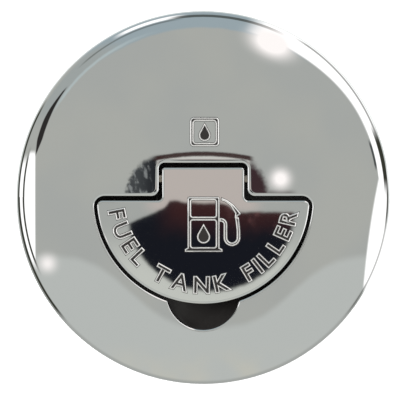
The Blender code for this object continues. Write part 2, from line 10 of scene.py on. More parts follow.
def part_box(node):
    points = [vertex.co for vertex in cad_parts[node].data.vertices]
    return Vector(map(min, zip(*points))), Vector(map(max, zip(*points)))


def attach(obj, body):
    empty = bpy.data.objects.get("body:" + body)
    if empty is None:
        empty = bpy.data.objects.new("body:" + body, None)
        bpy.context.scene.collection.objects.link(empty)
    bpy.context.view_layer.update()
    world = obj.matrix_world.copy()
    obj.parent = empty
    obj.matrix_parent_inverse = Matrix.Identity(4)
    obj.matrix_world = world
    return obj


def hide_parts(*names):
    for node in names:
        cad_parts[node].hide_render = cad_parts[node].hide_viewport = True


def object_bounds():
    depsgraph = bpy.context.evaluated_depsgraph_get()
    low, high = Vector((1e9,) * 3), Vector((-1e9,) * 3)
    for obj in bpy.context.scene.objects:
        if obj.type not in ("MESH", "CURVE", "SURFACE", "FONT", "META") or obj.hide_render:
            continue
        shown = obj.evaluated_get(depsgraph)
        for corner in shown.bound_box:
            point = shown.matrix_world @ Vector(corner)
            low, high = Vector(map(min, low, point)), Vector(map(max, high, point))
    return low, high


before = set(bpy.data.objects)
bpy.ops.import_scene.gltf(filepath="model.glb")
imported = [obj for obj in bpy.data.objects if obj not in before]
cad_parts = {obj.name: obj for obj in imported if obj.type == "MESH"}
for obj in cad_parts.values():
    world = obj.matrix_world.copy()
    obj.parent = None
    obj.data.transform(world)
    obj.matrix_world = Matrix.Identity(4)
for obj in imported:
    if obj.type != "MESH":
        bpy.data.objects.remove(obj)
cad_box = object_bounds()

MM = 0.001


def node_box(name):
    """A node's lowest and highest corners, in millimetres."""
    low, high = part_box(name)
    return low / MM, high / MM


# Driving dimensions in millimetres, read from the CAD nodes' boxes.
COVER_LOW, COVER_HIGH = node_box("cap_cover")
FLAP_LOW, FLAP_HIGH = node_box("flap")
PIN_LOW, PIN_HIGH = node_box("hinge_pin")
CAP_RADIUS = COVER_HIGH.x
RIM_BOTTOM = COVER_LOW.z
FLAP_WIDENING = 0.12
FLAP_RADIUS = FLAP_HIGH.x + FLAP_WIDENING
FLAP_TAB_TOP = FLAP_HIGH.y
FLAP_TOP = FLAP_HIGH.z
PIN_RADIUS = (PIN_HIGH.z - PIN_LOW.z) / 2.0
HINGE_Y = (PIN_HIGH.y + PIN_LOW.y) / 2.0
HINGE_Z = (PIN_HIGH.z + PIN_LOW.z) / 2.0

# Cover: the dome's slope is CROWN_SLOPE * r / (radius - r), as on the CAD cover.
CROWN_SLOPE = 0.0375
CROWN_TOP = 13.5
STEEPEST = 4.0
SHEET = 1.2
RIM_LIP = 3.0
RIM_ROUND = 0.7
EDGE_ROLL = 0.55
EDGE_FALL = 0.38
EDGE_DEPTH = 1.9

# Radii within which the cover's rows change from circles to the outline of the cut-out.
OUTER_CIRCLE = 36.0
INNER_CIRCLE = 34.5

# Outlines of the cut-out and of the flap, whose corners are round.
CUT_RADIUS = 26.05
CUT_TAB_HALF = 10.55
CUT_TAB_TOP = 8.2
CUT_SHOULDER = 0.3
CUT_TIP = 2.5
CUT_NECK = 1.75
CUT_CORNER = 1.4
NOTCH_RADIUS = 8.7
NOTCH_Y = -22.8
NOTCH_FILLET = 0.6
FLAP_TAB_HALF = 9.78
FLAP_SHOULDER = -0.75
FLAP_TIP = 1.3
FLAP_NECK = 1.0
FLAP_CORNER = 0.7
FLAP_ROLL = 0.5
FLAP_FALL = 0.34
FLAP_TAPER = 0.35

# Hinge: play round the pin in the flap's plate and in its knuckle.
PLATE_PLAY = 0.35
KNUCKLE_PLAY = 0.3
KNUCKLE_RADIUS = 2.25
KNUCKLE_SHORTER = 0.45
DRILL_HALF = 40.0

# Raised marks on the flap and the cover.
MARK_RISE = 0.01
MARK_BEVEL = 0.29
MARK_SHARP = 15.0
RIDGE_TOP = 0.03
RIDGE_INSIDE = 0.17
MARK_SINK = 0.23
HOSE_WIDTH = 1.05
LETTER_SIZE = 5.45
LETTER_RADIUS = 22.7
LETTER_MIDDLE = LETTER_RADIUS - LETTER_SIZE * 0.36
LETTER_START = 187.5
LETTER_END = 352.5
LETTERS = "FUEL TANK FILLER"
LETTER_THICKEN = 0.38
SPACE_WIDTH = 1.9

# Thread of the deck screws.
THREAD_PITCH = 1.3
THREAD_DEPTH = 0.5
THREAD_TOP = 1.0
THREAD_FLANK = 2.6
THREAD_END = 0.5

# Hose tail: its sleeve, collar and barbed pipe.
TAIL_SLEEVE = 23.7
TAIL_GROOVE = 22.3
TAIL_COLLAR = 26.0
TAIL_PIPE = 18.5
TAIL_BORE = 16.0
TAIL_THROAT = 20.5
TAIL_NECK_Z = -31.0
BARB_COUNT = 4
BARB_TOP = -34.0
BARB_SPACING = 6.0
BARB_RISE = 0.9
BARB_LENGTH = 5.0

# Camera, straight above the cap. The picture is FRAME_WIDTH wide at FRAME_LEVEL above the rim's foot.
CAMERA_X = -0.75
CAMERA_Y = -0.63
CAMERA_HEIGHT = 555.5
FRAME_WIDTH = 96.44
FRAME_LEVEL = 4.3
SENSOR = 36.0
STEEL_ALBEDO = 0.9

# Floor, in metres.
FLOOR_RADIUS = 1.6
FLOOR_GAP = 0.0005


# ---------------------------------------------------------------- shader arithmetic

class Number:
    """A node socket that carries a number, with arithmetic that adds Math nodes."""

    def __init__(self, tree, socket):
        self.tree = tree
        self.socket = socket

    def __add__(self, other):
        return compute(self.tree, "ADD", self, other)

    def __sub__(self, other):
        return compute(self.tree, "SUBTRACT", self, other)

    def __rsub__(self, other):
        return compute(self.tree, "SUBTRACT", other, self)

    def __mul__(self, other):
        return compute(self.tree, "MULTIPLY", self, other)

    def __truediv__(self, other):
        return compute(self.tree, "DIVIDE", self, other)

    __radd__ = __add__
    __rmul__ = __mul__


def feed(tree, socket, value):
    """Link a value into a socket, or set it there."""
    if isinstance(value, Number):
        tree.links.new(value.socket, socket)
    else:
        socket.default_value = value


def compute(tree, operation, *values):
    node = tree.nodes.new("ShaderNodeMath")
    node.operation = operation
    for socket, value in zip(node.inputs, values):
        feed(tree, socket, value)
    return Number(tree, node.outputs[0])


def absolute(value):
    return compute(value.tree, "ABSOLUTE", value)


def root(value):
    return compute(value.tree, "SQRT", compute(value.tree, "MAXIMUM", value, 0.0))


def length(x, y):
    return root(x * x + y * y)


def smaller(a, b):
    return compute(a.tree, "MINIMUM", a, b)


def larger(a, b):
    return compute(a.tree, "MAXIMUM", a, b)


def rise(value, low, high, lowest=0.0, highest=1.0):
    """Smooth step of a value from lowest at low to highest at high."""
    node = value.tree.nodes.new("ShaderNodeMapRange")
    node.interpolation_type = "SMOOTHSTEP"
    feed(value.tree, node.inputs["Value"], value)
    node.inputs["From Min"].default_value = low
    node.inputs["From Max"].default_value = high
    node.inputs["To Min"].default_value = lowest
    node.inputs["To Max"].default_value = highest
    return Number(value.tree, node.outputs["Result"])


def between(value, low, high, soft):
    """1 where a value lies between two limits, with soft ends."""
    return rise(value, low - soft, low + soft) * rise(value, high - soft, high + soft, 1.0, 0.0)


def noise(tree, vector, scale, detail=3.0, roughness=0.5, distortion=0.0):
    node = tree.nodes.new("ShaderNodeTexNoise")
    node.inputs["Scale"].default_value = scale
    node.inputs["Detail"].default_value = detail
    node.inputs["Roughness"].default_value = roughness
    node.inputs["Distortion"].default_value = distortion
    tree.links.new(vector, node.inputs["Vector"])
    return Number(tree, node.outputs["Fac"])


def vector_of(tree, x, y, z=0.0):
    node = tree.nodes.new("ShaderNodeCombineXYZ")
    for socket, value in zip(node.inputs, (x, y, z)):
        feed(tree, socket, value)
    return node.outputs[0]


def parts_of(tree, vector):
    node = tree.nodes.new("ShaderNodeSeparateXYZ")
    tree.links.new(vector, node.inputs[0])
    return [Number(tree, socket) for socket in node.outputs]


def linear(level):
    """A display level from 0 to 255 as linear light."""
    level /= 255.0
    return level / 12.92 if level <= 0.04045 else ((level + 0.055) / 1.055) ** 2.4


def tone(red, green, blue, gain=1.0):
    return (linear(red) * gain, linear(green) * gain, linear(blue) * gain, 1.0)


def mix(tree, mask, under, over):
    """Lay one colour over another by a mask. Either may be a socket."""
    node = tree.nodes.new("ShaderNodeMix")
    node.data_type = "RGBA"
    feed(tree, node.inputs["Factor"], mask)
    for socket, colour in ((node.inputs[6], under), (node.inputs[7], over)):
        if isinstance(colour, tuple):
            socket.default_value = colour
        else:
            tree.links.new(colour, socket)
    return node.outputs[2]


# ---------------------------------------------------------------- studio

def lit(red, green, blue, gain=1.0):
    """Light that a polished steel face shows as this display colour."""
    return tone(red, green, blue, gain / STEEL_ALBEDO)


class Face:
    """The studio, painted by places in millimetres on the dome and on the flat flap.

    A direction's half-angle vector is turned into the place on the dome that mirrors it upwards, so every
    card and lamp of the studio is a plain shape in those places. The small terms keep divisions finite.
    """

    def __init__(self, tree):
        self.tree = tree
        coordinates = tree.nodes.new("ShaderNodeTexCoord")
        dx, dy, dz = parts_of(tree, coordinates.outputs["Generated"])
        distance = CAMERA_HEIGHT - CROWN_TOP
        halved_x = dx / (dz + 1.0002) + CAMERA_X / (2.0 * distance)
        halved_y = dy / (dz + 1.0002) + CAMERA_Y / (2.0 * distance)
        slope = smaller(length(halved_x, halved_y), 50.0) + 0.00001
        total = slope + (CROWN_SLOPE + CAP_RADIUS / (2.0 * distance))
        under_root = total * total - slope * (2.0 * CAP_RADIUS / distance)
        self.reach = distance * (total - root(under_root))
        self.x = self.reach * halved_x / slope
        self.y = self.reach * halved_y / slope
        self.bearing = compute(tree, "ARCTAN2", self.y, self.x)
        self.place = vector_of(tree, self.x, self.y)
        self.flat_x = halved_x * (2.0 * distance)
        self.flat_y = halved_y * (2.0 * distance)
        self.flat = vector_of(tree, self.flat_x, self.flat_y)
        self.wobble = (noise(tree, self.place, 0.35, 2.0) - 0.5) * 1.2
        self.flat_wobble = (noise(tree, self.flat, 0.28, 3.0) - 0.5) * 2.2
        self.colour = lit(164, 167, 164)

    def paint(self, mask, tone_over):
        """Lay a colour over the studio by a mask."""
        self.colour = mix(self.tree, mask, self.colour, tone_over)

    def ring(self, reach, half_width, start, end):
        """A thin line round the rim, between two bearings in radians."""
        line_mask = rise(absolute(self.reach - reach), half_width + 0.2, half_width)
        return line_mask * between(self.bearing, start, end, 0.06)


def paint_walls(face):
    """The ceiling, a brighter wall towards -Y, and a blue-grey wall towards +Y."""
    x, y, reach = face.x, face.y, face.reach
    face.paint(rise(noise(face.tree, face.place, 0.045, 2.0), 0.35, 0.65), lit(168, 170, 165))
    across = absolute(x - 2.0) * (1.0 / 22.0)
    border = -14.0 - 17.0 * compute(face.tree, "EXPONENT", -1.0 * across * across * across)
    low_wall = rise(border - y + face.wobble * 0.4, -1.3, 1.1)
    face.paint(low_wall, lit(180, 184, 181))
    warm = low_wall * rise(y, -34.0, -42.0) * rise(noise(face.tree, face.place, 0.12, 1.0), 0.3, 0.7)
    face.paint(warm * 0.7, lit(190, 189, 178))
    face.paint(rise(reach + face.wobble * 0.3, 40.2, 41.0) * rise(y, 31.0, 38.0), lit(150, 164, 170))
    side_band = between(reach, 41.5, 44.0, 0.3) * between(y, 19.0, 36.0, 3.0) * rise(x, -10.0, -18.0)
    face.paint(side_band, lit(156, 162, 161))
    side_line = rise(absolute(reach - 41.25 + face.wobble * 0.3), 0.5, 0.1) * between(y, 22.0, 38.0, 3.0)
    face.paint(side_line * rise(x, -8.0, -14.0) * 0.7, lit(176, 190, 192))


def paint_flap_cards(face):
    """What the flat flap mirrors: a light card, a warm card above, and a dark doorway."""
    tree, flat_x, flat_y = face.tree, face.flat_x, face.flat_y
    on_flap = rise(length(flat_x, flat_y), 27.5, 26.0) * rise(flat_y, 9.0, 8.2)
    face.paint(on_flap, mix(tree, rise(flat_y, -5.0, -19.0), lit(162, 165, 162), lit(191, 194, 188)))
    face.paint(on_flap * rise(absolute(flat_x), 15.5, 10.5) * rise(flat_y, -4.5, -2.0), lit(182, 174, 169))
    bowl = length((flat_x - 1.9) * (1.0 / 19.6), (flat_y + 4.4) * (1.0 / 17.9))
    slant = 1.3 + 0.42 * flat_x + rise(flat_x, -9.6, -7.6) * 1.3
    top_edge = smaller(slant, -0.8 - rise(flat_x, -6.5, -4.5) * 0.5 - rise(flat_x, 4.5, 8.5) * 2.2)
    inside = rise(bowl + face.flat_wobble * 0.03, 1.03, 0.97)
    doorway = inside * rise(flat_y - top_edge + face.flat_wobble * 0.45, 0.45, -0.45)
    glow = rise(flat_y + face.flat_wobble * 2.0, -11.0, -2.5) * rise(flat_x, -13.0, -5.0)
    dark = mix(tree, glow, lit(22, 24, 31), lit(56, 33, 34))
    embers = rise(noise(tree, face.flat, 0.22, 4.0), 0.52, 0.7)
    embers = embers * rise(flat_y, -9.0, -3.0) * rise(flat_x, 4.0, 9.0)
    face.paint(doorway, mix(tree, embers * 0.7, dark, lit(112, 76, 76)))


def paint_tab_surrounds(face):
    """Dark shapes beside and above the flap's tab, seen in the dome."""
    tree, x, y = face.tree, face.x, face.y
    above = rise(y, 0.2, 1.0)
    ragged = (noise(tree, face.place, 0.9, 4.0, 0.65) - 0.5) * 1.1
    left_blob = length((x + 12.2 + 0.30 * (4.0 - y)) * (1.0 / 5.6), (y - 3.4) * (1.0 / 6.4))
    left_blob = left_blob + ragged * rise(x, -11.0, -16.0) * 0.5
    left_dark = above * rise(x, -9.0, -9.6) * rise(left_blob, 1.12, 0.84)
    wisps = noise(tree, vector_of(tree, x * 0.5 + y * 0.1, y * 0.22), 1.1, 4.0, 0.6)
    pale_wisps = rise(wisps, 0.53, 0.62) * rise(x, -11.6, -13.6)
    left_tone = mix(tree, rise(x, -10.5, -17.0), lit(32, 34, 38), lit(66, 69, 71))
    face.paint(left_dark, mix(tree, pale_wisps * 0.6, left_tone, lit(150, 154, 154)))
    right_blob = length((x - 11.7 - 0.30 * (3.2 - y)) * (1.0 / 3.6), (y - 2.6) * (1.0 / 6.6))
    right_dark = above * rise(x, 9.0, 9.6) * rise(right_blob + ragged * 0.4, 1.2, 0.62)
    right_tail = above * between(x, 12.0, 21.5, 1.5) * rise(y, 2.2, 1.0)
    face.paint(larger(right_dark, right_tail * 0.55), lit(58, 43, 46))
    arch = 10.35 - 0.0085 * x * x + ragged * 0.25
    below_arch = rise(arch - y, 0.0, 0.4) * rise(y, 7.6, 8.1) * rise(absolute(x), 11.5, 10.5)
    face.paint(below_arch, lit(198, 197, 192))
    arch_line = rise(absolute(y - arch), 0.75, 0.35) * rise(absolute(x), 12.5, 10.8)
    face.paint(arch_line * 0.95, lit(52, 32, 31))


def paint_windows(face):
    """Tall windows: the long highlights along the rim."""
    x, y, reach, bearing = face.x, face.y, face.reach, face.bearing
    left_window = rise(x, -39.9, -40.4) * between(y, -15.2, 10.8, 0.8) * rise(reach, 43.15, 42.85)
    left_strip = rise(x, -36.0, -38.0) * between(y, -16.0, 9.0, 2.0) * between(reach, 43.2, 44.2, 0.12)
    right_edge = 0.982 * x - 0.186 * y - 0.003 * y * y
    right_window = rise(right_edge, 40.1, 40.7) * between(y, -22.0, 7.0, 2.0)
    right_link = between(bearing, 0.08, 0.44, 0.05) * between(reach, 42.25, 43.5, 0.15)
    sill = 42.2 - rise(bearing, 0.45, 1.05) * 1.1
    upper_window = between(bearing, 0.36, 1.26, 0.08) * rise(reach - sill, -0.3, 0.3)
    streak = between(bearing, 1.70, 2.04, 0.06) * between(reach, 43.45, 44.15, 0.15)
    windows = larger(larger(left_window, left_strip), larger(right_window, right_link))
    windows = larger(windows, larger(upper_window, streak))
    face.paint(windows, lit(255, 255, 255, 1.15))
    lower_rim = rise(reach, 43.7, 44.6) * rise(y, 4.0, -20.0)
    face.paint(lower_rim * rise(right_edge, 41.0, 39.0), lit(158, 161, 158))


def paint_frames(face):
    """Dark frames that bound the windows. Bearings run from -pi to pi, and half_turn is past both."""
    x, y, reach = face.x, face.y, face.reach
    half_turn = 3.2
    frame_tone = lit(52, 54, 46)
    face.paint(face.ring(44.0, 0.42, 0.05, 0.36), frame_tone)
    face.paint(face.ring(44.35, 0.16, -0.14, 0.07) * 0.95, frame_tone)
    face.paint(face.ring(44.2, 0.13, 0.36, 1.02) * 0.7, frame_tone)
    face.paint(face.ring(43.55, 0.22, 1.14, 1.74) * 0.8, frame_tone)
    face.paint(face.ring(43.05, 0.08, 1.72, 2.3) * 0.5, frame_tone)
    face.paint(face.ring(44.3, 0.13, 2.62, half_turn), frame_tone)
    face.paint(face.ring(43.0, 0.1, 2.9, half_turn), frame_tone)
    face.paint(face.ring(44.25, 0.2, -half_turn, -2.45), frame_tone)
    face.paint(face.ring(43.05, 0.12, -half_turn, -2.74), frame_tone)
    face.paint(face.ring(44.4, 0.1, -0.66, -0.1) * 0.6, frame_tone)
    wedge = rise(y, 10.0, 14.5) * rise(y, 27.0, 17.5)
    wedge_reach = 41.3 + rise(y, 10.0, 22.0) * 0.65
    left_streak = rise(absolute(reach - wedge_reach) - wedge * 0.46, 0.25, 0.02)
    left_streak = left_streak * between(y, 10.4, 26.0, 0.8)
    face.paint(left_streak * rise(x, -28.0, -31.0) * 0.97, lit(32, 29, 29))
    right_streak = rise(absolute(reach - 41.95), 0.34, 0.16) * between(y, 7.0, 13.2, 1.0)
    face.paint(right_streak * rise(x, 30.0, 34.0) * 0.9, lit(48, 54, 56))
    face.paint(rise(reach, 44.5, 44.72) * rise(y, -14.0, 0.0), lit(222, 227, 225))


def paint_lamp(face, x, y, size, power, flatness=1.0):
    """A small lamp whose glow may be drawn out along the rim."""
    angle = math.atan2(y, x)
    outward = (face.x - x) * math.cos(angle) + (face.y - y) * math.sin(angle)
    sideways = (face.y - y) * math.cos(angle) - (face.x - x) * math.sin(angle)
    spot = rise(length(outward, sideways * flatness), size, 0.0)
    face.paint(smaller(spot * spot * power, 1.0), lit(255, 250, 248))


def studio_reflections(tree):
    """What the polished cap mirrors."""
    face = Face(tree)
    paint_walls(face)
    paint_flap_cards(face)
    paint_tab_surrounds(face)
    paint_windows(face)
    paint_frames(face)
    paint_lamp(face, 18.4, 4.4, 5.0, 1.25)
    paint_lamp(face, 16.4, 36.9, 6.6, 1.7, flatness=0.6)
    paint_lamp(face, -37.2, -15.8, 4.6, 0.85)
    return face.colour


def make_softbox(name, place, size, power):
    """An area light that points at the origin and isn't mirrored."""
    light = bpy.data.lights.new(name, "AREA")
    light.energy = power
    light.size = size
    lamp = bpy.data.objects.new(name, light)
    lamp.location = place
    lamp.rotation_euler = Vector(place).to_track_quat("Z", "Y").to_euler()
    lamp.visible_glossy = False
    bpy.context.collection.objects.link(lamp)


def make_studio():
    """The world, the floor and two softboxes. Rays that aren't mirrored see a plain pale room."""
    world = bpy.data.worlds.new("studio")
    bpy.context.scene.world = world
    world.use_nodes = True
    tree = world.node_tree
    path = tree.nodes.new("ShaderNodeLightPath")
    mirrored = Number(tree, path.outputs["Is Glossy Ray"])
    seen = Number(tree, path.outputs["Is Camera Ray"])
    plain = mix(tree, seen, (1.02, 1.02, 1.02, 1.0), (0.93, 0.93, 0.92, 1.0))
    everything = mix(tree, mirrored, plain, studio_reflections(tree))
    tree.links.new(everything, tree.nodes["Background"].inputs["Color"])
    bpy.context.scene.view_settings.view_transform = "Standard"

    shape = bmesh.new()
    bmesh.ops.create_circle(shape, cap_ends=True, segments=96, radius=FLOOR_RADIUS)
    bmesh.ops.translate(shape, vec=(0.0, 0.0, cad_box[0].z - FLOOR_GAP), verts=shape.verts)
    floor = object_from(shape, "floor", make_floor_finish())
    floor.visible_glossy = False

    make_softbox("key_softbox", (-0.5, 0.35, 0.9), 0.7, 5.0)
    make_softbox("fill_softbox", (0.7, -0.5, 0.6), 0.8, 3.0)


def make_camera():
    data = bpy.data.cameras.new("camera")
    data.sensor_width = SENSOR
    data.lens = SENSOR * (CAMERA_HEIGHT - RIM_BOTTOM - FRAME_LEVEL) / FRAME_WIDTH
    data.clip_start = 0.01
    camera = bpy.data.objects.new("camera", data)
    camera.location = (CAMERA_X * MM, CAMERA_Y * MM, CAMERA_HEIGHT * MM)
    bpy.context.collection.objects.link(camera)
    bpy.context.scene.camera = camera


# ---------------------------------------------------------------- finishes

def new_group(name, *outputs):
    """A node group with Vector, Scale and Amount inputs and named outputs, its entry, and its Amount."""
    group = bpy.data.node_groups.new(name, "ShaderNodeTree")
    group.interface.new_socket("Vector", in_out="INPUT", socket_type="NodeSocketVector")
    for socket_name in ("Scale", "Amount"):
        socket = group.interface.new_socket(socket_name, in_out="INPUT", socket_type="NodeSocketFloat")
        socket.default_value = 1.0
    for socket_name in outputs:
        group.interface.new_socket(socket_name, in_out="OUTPUT", socket_type="NodeSocketFloat")
    entry = group.nodes.new("NodeGroupInput")
    return group, entry, Number(group, entry.outputs["Amount"])


def give(group, **values):
    """Link values to a group's outputs of the same names, and return the group."""
    result = group.nodes.new("NodeGroupOutput")
    for name, value in values.items():
        group.links.new(value.socket, result.inputs[name])
    return group


def scaled_vector(group, entry):
    """A group's Vector multiplied by its Scale."""
    node = group.nodes.new("ShaderNodeVectorMath")
    node.operation = "SCALE"
    group.links.new(entry.outputs["Vector"], node.inputs[0])
    group.links.new(entry.outputs["Scale"], node.inputs["Scale"])
    return node.outputs[0]


def stretched_noise(group, vector, factors, scale, detail):
    """Noise whose grain is drawn out by a factor along each axis."""
    node = group.nodes.new("ShaderNodeMapping")
    group.links.new(vector, node.inputs["Vector"])
    node.inputs["Scale"].default_value = factors
    return noise(group, node.outputs[0], scale, detail, 0.6)


def make_scratch_group():
    """Polishing hairlines: a height for a bump, and a mask of where the mirror is duller."""
    group, entry, amount = new_group("polish_hairlines", "Height", "Haze")
    vector = scaled_vector(group, entry)
    lines = stretched_noise(group, vector, (1.0, 14.0, 1.0), 900.0, 4.0)
    cross_lines = stretched_noise(group, vector, (11.0, 1.5, 1.0), 700.0, 3.0)
    clouds = stretched_noise(group, vector, (1.0, 1.0, 1.0), 45.0, 3.0)
    patches = rise(clouds, 0.4, 0.7)
    height = (lines * 0.6 + cross_lines * 0.4) * amount
    haze = (rise(lines, 0.55, 0.75) * patches * 0.7 + clouds * 0.3) * amount
    return give(group, Height=height, Haze=haze)


def make_grain_group():
    """Fine moulded or cast grain, with larger blotches."""
    group, entry, amount = new_group("surface_grain", "Height", "Blotches")
    vector = scaled_vector(group, entry)
    fine = noise(group, vector, 2600.0, 3.0)
    coarse = noise(group, vector, 520.0, 4.0)
    blotches = noise(group, vector, 110.0, 3.0)
    return give(group, Height=(fine * 0.55 + coarse * 0.45) * amount, Blotches=rise(blotches, 0.3, 0.7))


def make_dust_group():
    """Specks of dust and dried water marks."""
    group, entry, amount = new_group("dust_and_marks", "Mask")
    vector = scaled_vector(group, entry)
    specks = rise(noise(group, vector, 1500.0, 2.0), 0.66, 0.76)
    smears = rise(stretched_noise(group, vector, (1.0, 0.35, 1.0), 90.0, 4.0), 0.55, 0.8)
    return give(group, Mask=(specks * 0.5 + smears * 0.5) * amount)


def make_turning_group():
    """Lathe marks: fine rings around an axis through the origin, along Z."""
    group, entry, amount = new_group("turning_marks", "Height", "Tint")
    x, y, z = parts_of(group, entry.outputs["Vector"])
    along = (length(x, y) + z * 1.3) * Number(group, entry.outputs["Scale"])
    rings = noise(group, vector_of(group, along, 0.0), 5200.0, 2.0)
    bands = noise(group, vector_of(group, along, 3.0), 900.0, 2.0)
    return give(group, Height=(rings * 0.7 + bands * 0.3) * amount, Tint=rise(bands, 0.3, 0.7))


HAIRLINES = make_scratch_group()
GRAIN = make_grain_group()
DUST = make_dust_group()
TURNING = make_turning_group()


class Finish:
    """A material under construction: its tree, its shader and the Object coordinates."""

    def __init__(self, name, colour, roughness, metallic, constants=()):
        self.material = bpy.data.materials.new(name)
        self.material.use_nodes = True
        self.tree = self.material.node_tree
        self.shader = self.tree.nodes["Principled BSDF"]
        self.colour = (*colour, 1.0)
        self.shader.inputs["Base Color"].default_value = self.colour
        self.shader.inputs["Roughness"].default_value = roughness
        self.shader.inputs["Metallic"].default_value = metallic
        for socket_name, value in constants:
            self.shader.inputs[socket_name].default_value = value
        self.material.diffuse_color = self.colour
        self.vector = self.tree.nodes.new("ShaderNodeTexCoord").outputs["Object"]

    def effect(self, group, scale=1.0, amount=1.0):
        """Add a node group, and return its outputs."""
        node = self.tree.nodes.new("ShaderNodeGroup")
        node.node_tree = group
        node.inputs["Scale"].default_value = scale
        node.inputs["Amount"].default_value = amount
        self.tree.links.new(self.vector, node.inputs["Vector"])
        return [Number(self.tree, socket) for socket in node.outputs]

    def tint(self, mask, colour):
        """Lay a colour over what is there by a mask."""
        self.colour = mix(self.tree, mask, self.colour, (*colour, 1.0))
        self.tree.links.new(self.colour, self.shader.inputs["Base Color"])

    def roughen(self, mask, low, high):
        feed(self.tree, self.shader.inputs["Roughness"], rise(mask, 0.0, 1.0, low, high))

    def emboss(self, height, strength, distance):
        """Add a bump, whose distance is in millimetres."""
        node = self.tree.nodes.new("ShaderNodeBump")
        node.inputs["Strength"].default_value = strength
        node.inputs["Distance"].default_value = distance * MM
        self.tree.links.new(height.socket, node.inputs["Height"])
        self.tree.links.new(node.outputs["Normal"], self.shader.inputs["Normal"])


def scaled_colour(colour, factor):
    return tuple(level * factor for level in colour)


def mirror_finish(name, colour, metallic, haze_colour):
    """A polished finish with faint hairlines, and the mask of where they dull it."""
    finish = Finish(name, colour, 0.02, metallic)
    height, haze = finish.effect(HAIRLINES)
    finish.tint(haze * 0.25, haze_colour)
    finish.emboss(height, 0.02, 0.002)
    return finish, haze


def polished_finish(name, colour, dull):
    """Mirror-polished stainless steel, with faint hairlines and a few dull smears."""
    finish, haze = mirror_finish(name, colour, 1.0, scaled_colour(colour, 0.9))
    marks, = finish.effect(DUST)
    finish.tint(marks * 0.10, (0.72, 0.72, 0.69))
    finish.roughen(haze * 0.6 + marks * 0.4, 0.012, dull)
    return finish.material


def marked_finish(name, ground):
    """Polished steel of the raised marks, with painted shade on their sunk tops and at their feet.

    ground gives the height in millimetres of the face the marks stand on, from x and y in millimetres.
    """
    finish, haze = mirror_finish(name, (0.84, 0.83, 0.81), 0.6, (0.81, 0.81, 0.81))
    x, y, z = [part * (1.0 / MM) for part in parts_of(finish.tree, finish.vector)]
    above = z - ground(x, y)
    # Painted shade: faces less than about 0.1 mm above the face the marks stand on, which are the sunk tops
    # inside the ridges and the feet of the flanks, are painted nearly black and made rougher.
    painted_shade = rise(above, 0.16, 0.1)
    finish.tint(painted_shade * 0.97, (0.02, 0.016, 0.015))
    finish.roughen(haze * 0.4 + painted_shade * 0.6, 0.015, 0.3)
    return finish.material


def flap_face(x, y):
    """Height of the flap's flat face, the same at every place."""
    return FLAP_TOP


def cover_face(x, y):
    """Height of the dome at a place, as shader arithmetic."""
    reach = length(x, y)
    fall = compute(x.tree, "LOGARITHM", 1.0 - reach / CAP_RADIUS, math.e)
    return CROWN_TOP + CROWN_SLOPE * (reach + CAP_RADIUS * fall)


def machined_finish(name, colour, roughness, turned=1.0):
    """Turned or cast steel with lathe marks and grain."""
    finish = Finish(name, colour, roughness, 1.0)
    rings, tint = finish.effect(TURNING, 1.0, turned)
    grain, blotches = finish.effect(GRAIN)
    finish.tint(tint * 0.35, scaled_colour(colour, 0.8))
    finish.tint(blotches * 0.25, scaled_colour(colour, 1.12))
    finish.roughen(grain * 0.5 + blotches * 0.5, roughness * 0.7, roughness * 1.4)
    finish.emboss(rings * 0.6 + grain * 0.4, 0.25, 0.05)
    return finish.material


def moulded_finish(name, colour, roughness, grain_scale, speck):
    """Moulded plastic or rubber with a fine grain, blotches and pale dust."""
    finish = Finish(name, colour, roughness, 0.0, [("Specular IOR Level", 0.4)])
    grain, blotches = finish.effect(GRAIN, grain_scale)
    marks, = finish.effect(DUST, 1.3)
    finish.tint(blotches * 0.4, tuple(min(level * 1.5 + 0.004, 1.0) for level in colour))
    finish.tint(marks * 0.25, speck)
    finish.roughen(grain * 0.6 + marks * 0.4, roughness * 0.8, min(roughness * 1.3, 1.0))
    finish.emboss(grain, 0.35, 0.08)
    return finish.material


def brass_finish():
    """Turned brass, browned in blotches."""
    finish = Finish("turned_brass", (0.74, 0.55, 0.27), 0.28, 1.0)
    rings, tint = finish.effect(TURNING)
    blotches = finish.effect(GRAIN, 1.2)[1]
    finish.tint(tint * 0.3, (0.62, 0.44, 0.20))
    finish.tint(blotches * 0.35, (0.46, 0.33, 0.17))
    finish.roughen(blotches, 0.2, 0.42)
    finish.emboss(rings, 0.2, 0.05)
    return finish.material


def make_floor_finish():
    glow = [("Emission Color", (1.0, 1.0, 1.0, 1.0)), ("Emission Strength", 0.3)]
    return Finish("pale_floor", (0.9, 0.9, 0.9), 0.9, 0.0, glow).material


def make_finishes():
    """Each slot's finish, and the finishes of the marks and the hinge pin."""
    return {
        "polished_cover": polished_finish("polished_steel", (STEEL_ALBEDO,) * 3, 0.04),
        "polished_flap": polished_finish("flap_steel", (STEEL_ALBEDO, STEEL_ALBEDO, 0.895), 0.03),
        "flap_marks": marked_finish("flap_marks", flap_face),
        "cover_marks": marked_finish("cover_marks", cover_face),
        "hinge_steel": machined_finish("hinge_steel", (0.42, 0.37, 0.32), 0.35, 0.6),
        "cast_steel": machined_finish("cast_steel", (0.60, 0.61, 0.60), 0.30, 0.5),
        "tail_steel": machined_finish("tail_steel", (0.58, 0.59, 0.59), 0.30, 1.0),
        "fastener_steel": machined_finish("fastener_steel", (0.66, 0.66, 0.64), 0.22, 0.7),
        "brass": brass_finish(),
        "black_nylon": moulded_finish("black_nylon", (0.025, 0.023, 0.022), 0.5, 1.0, (0.05, 0.05, 0.045)),
        "pad_rubber": moulded_finish("pad_rubber", (0.016, 0.016, 0.016), 0.75, 1.4, (0.06, 0.06, 0.055)),
        "seal_rubber": moulded_finish("seal_rubber", (0.012, 0.012, 0.013), 0.45, 1.6, (0.04, 0.04, 0.04)),
        "gasket_rubber": moulded_finish("gasket_rubber", (0.03, 0.03, 0.031), 0.7, 0.8, (0.12, 0.115, 0.1)),
        "washer_nylon": moulded_finish("washer_nylon", (0.78, 0.76, 0.68), 0.45, 1.0, (0.60, 0.56, 0.46)),
    }


# ---------------------------------------------------------------- meshes

